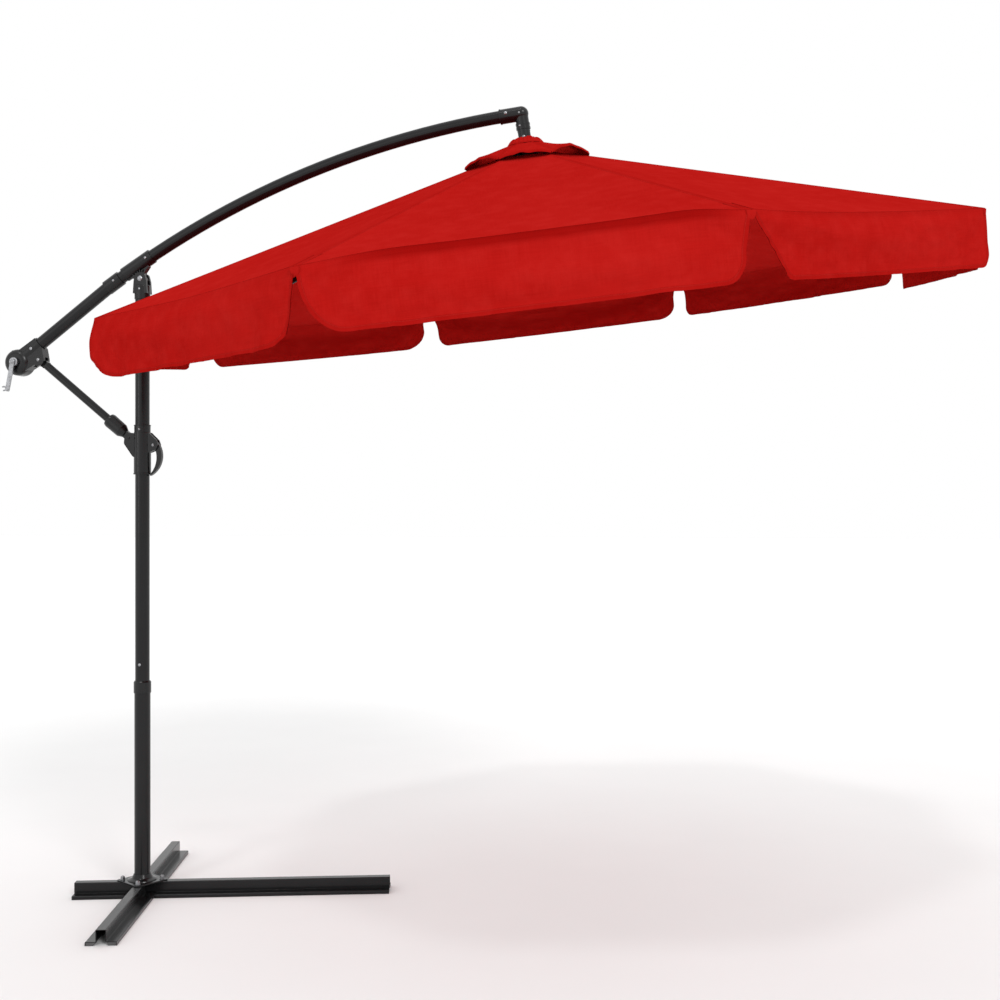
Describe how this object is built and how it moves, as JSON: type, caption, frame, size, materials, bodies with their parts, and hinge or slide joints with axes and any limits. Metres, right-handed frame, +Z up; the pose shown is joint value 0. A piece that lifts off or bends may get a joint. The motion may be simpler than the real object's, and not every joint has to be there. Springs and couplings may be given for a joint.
{
  "type": "patio umbrella with base",
  "caption": "Cantilever patio umbrella: an octagonal canopy with a flap skirt hung from a curved arm on an offset mast, with strut, slider, crank and a cross base.",
  "frame": {"origin": "on the floor, on the mast's axis", "axes": "+Z up, +X from the mast towards the canopy in the arm's plane, +Y to the left of somebody looking along +X"},
  "size_m": [3.0342, 2.5538, 2.4886],
  "materials": {
    "frame_steel": "satin",
    "grey_plastic": "matte",
    "black_plastic": "satin",
    "bright_steel": "satin",
    "red_fabric": "matte",
    "cord": "matte",
    "rubber": "matte"
  },
  "bodies": {
    "mast": {"leg_long": "frame_steel", "leg_cross": "frame_steel", "leg_end_pads": "grey_plastic", "base_plate": "frame_steel", "base_bolt_sets": "bright_steel", "lower_mast": "frame_steel", "mast_collar": "black_plastic", "mast_bushings": "black_plastic", "upper_mast": "frame_steel", "mast_head": "black_plastic", "mast_bolts": "bright_steel"},
    "arm": {"arm_lower_tube": "frame_steel", "arm_upper_tube": "frame_steel", "arm_collar": "black_plastic", "arm_clamp": "black_plastic", "elbow": "black_plastic", "crank_housing_front": "black_plastic", "crank_housing_rear": "black_plastic", "ratchet_pawl": "bright_steel", "arm_screws": "bright_steel", "arm_pivot_bolts": "bright_steel", "hoist_cord": "cord"},
    "pulley": {"cord_pulley": "black_plastic"},
    "spool": {"cord_spool": "black_plastic", "wound_cord": "cord", "crank_shaft": "bright_steel", "crank_handle": "bright_steel"},
    "strut": {"strut_tube": "frame_steel", "strut_top_end": "black_plastic", "strut_socket": "black_plastic"},
    "slider": {"slider": "black_plastic", "slider_bolts": "bright_steel", "brake_pad": "rubber"},
    "lever": {"slider_lever": "black_plastic"},
    "hub": {"hub_neck": "frame_steel", "rib_hub": "black_plastic", "rib_hinge_pins": "bright_steel", "canopy_panels": "red_fabric", "vent_cap": "red_fabric", "canopy_flaps": "red_fabric", "neck_ruffle": "red_fabric", "cord_fall": "cord"},
    "runner": {"runner": "black_plastic", "runner_pins": "bright_steel"},
    "rib_body_1": {"rib_1": "frame_steel"},
    "stretcher_body_1": {"stretcher_1": "frame_steel"},
    "rib_body_2": {"rib_2": "frame_steel"},
    "stretcher_body_2": {"stretcher_2": "frame_steel"},
    "rib_body_3": {"rib_3": "frame_steel"},
    "stretcher_body_3": {"stretcher_3": "frame_steel"},
    "rib_body_4": {"rib_4": "frame_steel"},
    "stretcher_body_4": {"stretcher_4": "frame_steel"},
    "rib_body_5": {"rib_5": "frame_steel"},
    "stretcher_body_5": {"stretcher_5": "frame_steel"},
    "rib_body_6": {"rib_6": "frame_steel"},
    "stretcher_body_6": {"stretcher_6": "frame_steel"},
    "rib_body_7": {"rib_7": "frame_steel"},
    "stretcher_body_7": {"stretcher_7": "frame_steel"},
    "rib_body_8": {"rib_8": "frame_steel"},
    "stretcher_body_8": {"stretcher_8": "frame_steel"}
  },
  "joints": [
    {"name": "arm_tilt", "type": "hinge", "parent": "mast", "child": "arm", "pos_m": [0, 0, 1.977], "axis": [0, -1, 0], "range_deg": [0, 35]},
    {"name": "strut_on_arm", "type": "hinge", "parent": "arm", "child": "strut", "pos_m": [-0.345, 0, 1.721], "axis": [0, -1, 0], "range_deg": [-72, 0]},
    {"name": "slider_on_strut", "type": "hinge", "parent": "strut", "child": "slider", "pos_m": [-0.039, 0, 1.466], "axis": [0, -1, 0], "range_deg": [0, 37]},
    {"name": "lever_release", "type": "hinge", "parent": "slider", "child": "lever", "pos_m": [0.04, 0, 1.444], "axis": [0, -1, 0], "range_deg": [0, 40]},
    {"name": "canopy_swing", "type": "hinge", "parent": "arm", "child": "hub", "pos_m": [1.23995, 0.0076, 2.39439], "axis": [0.0136, -0.9945, -0.1036], "range_deg": [-5, 25]},
    {"name": "canopy_fold", "type": "hinge", "parent": "hub", "child": "rib_body_1", "pos_m": [1.28078, 0.03153, 2.34715], "axis": [-0.4681, 0.8827, 0.0425], "range_deg": [0, 68], "deforming": ["canopy_panels", "canopy_flaps", "vent_cap", "neck_ruffle", "cord_fall"]},
    {"name": "stretcher_hinge_1", "type": "hinge", "parent": "rib_body_1", "child": "stretcher_body_1", "pos_m": [1.76657, 0.29373, 2.25201], "axis": [-0.4681, 0.8827, 0.0425], "range_deg": [-136.5, 0]},
    {"name": "rib_hinge_2", "type": "hinge", "parent": "hub", "child": "rib_body_2", "pos_m": [1.25727, 0.05112, 2.34667], "axis": [-0.9512, 0.3001, -0.0715], "range_deg": [0, 68]},
    {"name": "stretcher_hinge_2", "type": "hinge", "parent": "rib_body_2", "child": "stretcher_body_2", "pos_m": [1.42995, 0.57426, 2.24513], "axis": [-0.9512, 0.3001, -0.0715], "range_deg": [-136.5, 0]},
    {"name": "rib_hinge_3", "type": "hinge", "parent": "hub", "child": "rib_body_3", "pos_m": [1.22697, 0.0485, 2.34311], "axis": [-0.8771, -0.4582, -0.1436], "range_deg": [0, 68]},
    {"name": "stretcher_hinge_3", "type": "hinge", "parent": "rib_body_3", "child": "stretcher_body_3", "pos_m": [0.9963, 0.53675, 2.19411], "axis": [-0.8771, -0.4582, -0.1436], "range_deg": [-136.5, 0]},
    {"name": "rib_hinge_4", "type": "hinge", "parent": "hub", "child": "rib_body_4", "pos_m": [1.20765, 0.0252, 2.33855], "axis": [-0.2893, -0.9482, -0.1316], "range_deg": [0, 68]},
    {"name": "stretcher_hinge_4", "type": "hinge", "parent": "rib_body_4", "child": "stretcher_body_4", "pos_m": [0.71965, 0.20318, 2.12884], "axis": [-0.2893, -0.9482, -0.1316], "range_deg": [-136.5, 0]},
    {"name": "rib_hinge_5", "type": "hinge", "parent": "hub", "child": "rib_body_5", "pos_m": [1.21061, -0.00513, 2.33567], "axis": [0.4681, -0.8827, -0.0425], "range_deg": [0, 68]},
    {"name": "stretcher_hinge_5", "type": "hinge", "parent": "rib_body_5", "child": "stretcher_body_5", "pos_m": [0.76207, -0.23105, 2.08754], "axis": [0.4681, -0.8827, -0.0425], "range_deg": [-136.5, 0]},
    {"name": "rib_hinge_6", "type": "hinge", "parent": "hub", "child": "rib_body_6", "pos_m": [1.23413, -0.02473, 2.33615], "axis": [0.9512, -0.3001, 0.0715], "range_deg": [0, 68]},
    {"name": "stretcher_hinge_6", "type": "hinge", "parent": "rib_body_6", "child": "stretcher_body_6", "pos_m": [1.0987, -0.51158, 2.09442], "axis": [0.9512, -0.3001, 0.0715], "range_deg": [-136.5, 0]},
    {"name": "rib_hinge_7", "type": "hinge", "parent": "hub", "child": "rib_body_7", "pos_m": [1.26442, -0.02211, 2.33971], "axis": [0.8771, 0.4582, 0.1436], "range_deg": [0, 68]},
    {"name": "stretcher_hinge_7", "type": "hinge", "parent": "rib_body_7", "child": "stretcher_body_7", "pos_m": [1.53235, -0.47407, 2.14544], "axis": [0.8771, 0.4582, 0.1436], "range_deg": [-136.5, 0]},
    {"name": "rib_hinge_8", "type": "hinge", "parent": "hub", "child": "rib_body_8", "pos_m": [1.28375, 0.00119, 2.34427], "axis": [0.2893, 0.9482, 0.1316], "range_deg": [0, 68]},
    {"name": "stretcher_hinge_8", "type": "hinge", "parent": "rib_body_8", "child": "stretcher_body_8", "pos_m": [1.80899, -0.1405, 2.21071], "axis": [0.2893, 0.9482, 0.1316], "range_deg": [-136.5, 0]},
    {"name": "runner_on_stretcher", "type": "hinge", "parent": "stretcher_body_1", "child": "runner", "pos_m": [1.31803, 0.06781, 2.00388], "axis": [-0.4681, 0.8827, 0.0425], "range_deg": [0, 68.5]},
    {"name": "crank_turn", "type": "hinge", "parent": "arm", "child": "spool", "pos_m": [-0.418, 0, 1.714], "axis": [0, 1, 0], "range_deg": [0, 2250]},
    {"name": "pulley_turn", "type": "hinge", "parent": "arm", "child": "pulley", "pos_m": [1.226, -0.00016, 2.46699], "axis": [-0.0136, 0.9945, 0.1036], "range_deg": [0, 4080]}
  ],
  "couplings": [
    {"joint": "strut_on_arm", "follows": "arm_tilt", "ratio": -2.029},
    {"joint": "slider_on_strut", "follows": "arm_tilt", "ratio": 1.029},
    {"joint": "stretcher_hinge_1", "follows": "canopy_fold", "ratio": -2},
    {"joint": "rib_hinge_2", "follows": "canopy_fold", "ratio": 1},
    {"joint": "stretcher_hinge_2", "follows": "canopy_fold", "ratio": -2},
    {"joint": "rib_hinge_3", "follows": "canopy_fold", "ratio": 1},
    {"joint": "stretcher_hinge_3", "follows": "canopy_fold", "ratio": -2},
    {"joint": "rib_hinge_4", "follows": "canopy_fold", "ratio": 1},
    {"joint": "stretcher_hinge_4", "follows": "canopy_fold", "ratio": -2},
    {"joint": "rib_hinge_5", "follows": "canopy_fold", "ratio": 1},
    {"joint": "stretcher_hinge_5", "follows": "canopy_fold", "ratio": -2},
    {"joint": "rib_hinge_6", "follows": "canopy_fold", "ratio": 1},
    {"joint": "stretcher_hinge_6", "follows": "canopy_fold", "ratio": -2},
    {"joint": "rib_hinge_7", "follows": "canopy_fold", "ratio": 1},
    {"joint": "stretcher_hinge_7", "follows": "canopy_fold", "ratio": -2},
    {"joint": "rib_hinge_8", "follows": "canopy_fold", "ratio": 1},
    {"joint": "stretcher_hinge_8", "follows": "canopy_fold", "ratio": -2},
    {"joint": "runner_on_stretcher", "follows": "canopy_fold", "ratio": 1},
    {"joint": "crank_turn", "follows": "canopy_fold", "ratio": 32.5},
    {"joint": "pulley_turn", "follows": "canopy_fold", "ratio": 59.1}
  ]
}
